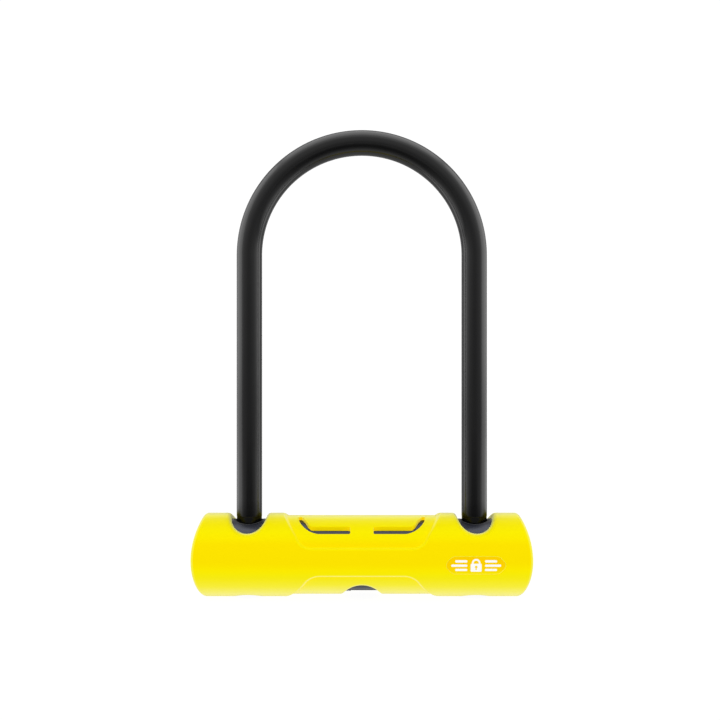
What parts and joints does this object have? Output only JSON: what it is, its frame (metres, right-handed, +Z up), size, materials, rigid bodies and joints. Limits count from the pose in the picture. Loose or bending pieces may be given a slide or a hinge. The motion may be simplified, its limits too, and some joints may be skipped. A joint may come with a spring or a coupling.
{
  "type": "bicycle u lock",
  "caption": "Bicycle U-lock: a coated steel shackle held at both feet by sliding bolts in a tubular crossbar with a moulded cover, and a key cylinder under a sliding lid.",
  "frame": {"origin": "middle of the lock's underside: the lowest line of the crossbar, half way along it, with the lock standing on its crossbar", "axes": "+X along the crossbar, to the right seen from the front; +Z up along the shackle's legs; -Y is the front, the side with the badge"},
  "size_m": [0.1708, 0.0424, 0.24],
  "materials": {
    "cover_plastic": "bright yellow moulded plastic, semi-gloss",
    "badge_plastic": "yellow badge with a printed white padlock sign",
    "coated_tube": "black electro-coated steel",
    "black_plastic": "black moulded nylon",
    "vinyl": "black vinyl dip coat, satin",
    "rubber": "black rubber",
    "hard_steel": "hardened steel, ground",
    "bare_steel": "plated steel",
    "zinc": "zinc die casting, matt",
    "brass": "machined brass"
  },
  "bodies": {
    "lock_body": {"front_cover": "cover_plastic", "rear_cover": "cover_plastic", "badge": "badge_plastic", "body_tube": "coated_tube", "end_plug_left": "bare_steel", "end_plug_right": "bare_steel", "end_plug_pins": "bare_steel", "leg_collar_left": "black_plastic", "leg_collar_right": "black_plastic", "wiper_rings": "rubber", "leg_socket_left": "zinc", "leg_socket_right": "zinc", "chassis_front": "zinc", "chassis_rear": "zinc", "chassis_screws": "bare_steel", "cylinder_body": "brass", "cylinder_pins": "bare_steel"},
    "shackle": {"shackle_bar": "hard_steel", "shackle_coating": "vinyl"},
    "key_plug": {"plug_drum": "brass", "anti_drill_disc": "hard_steel", "locking_discs": "brass", "disc_spacers": "bare_steel", "drive_cam": "hard_steel", "cam_screw": "bare_steel"},
    "sidebar_pin": {"sidebar": "hard_steel"},
    "left_bolt": {"bolt_left": "hard_steel"},
    "right_bolt": {"bolt_right": "hard_steel"},
    "slider": {"keyhole_slider": "black_plastic"}
  },
  "joints": [
    {"name": "shackle_lift", "type": "slide", "parent": "lock_body", "child": "shackle", "axis": [0, 0, 1], "range_m": [0, 0.06]},
    {"name": "plug_turn", "type": "hinge", "parent": "lock_body", "child": "key_plug", "pos_m": [0, 0, 0.0212], "axis": [0, 0, 1], "range_deg": [0, 90]},
    {"name": "left_bolt_slide", "type": "slide", "parent": "lock_body", "child": "left_bolt", "axis": [-1, 0, 0], "range_m": [0, 0.00566]},
    {"name": "right_bolt_slide", "type": "slide", "parent": "lock_body", "child": "right_bolt", "axis": [1, 0, 0], "range_m": [0, 0.00566]},
    {"name": "keyhole_slide", "type": "slide", "parent": "lock_body", "child": "slider", "axis": [1, 0, 0], "range_m": [0, 0.0145]},
    {"name": "sidebar_slide", "type": "slide", "parent": "key_plug", "child": "sidebar_pin", "axis": [0, 1, 0], "range_m": [0, 0.0006]}
  ],
  "couplings": [
    {"joint": "plug_turn", "follows": "right_bolt_slide", "rad_per_m": 277.68},
    {"joint": "left_bolt_slide", "follows": "right_bolt_slide", "ratio": 1}
  ]
}
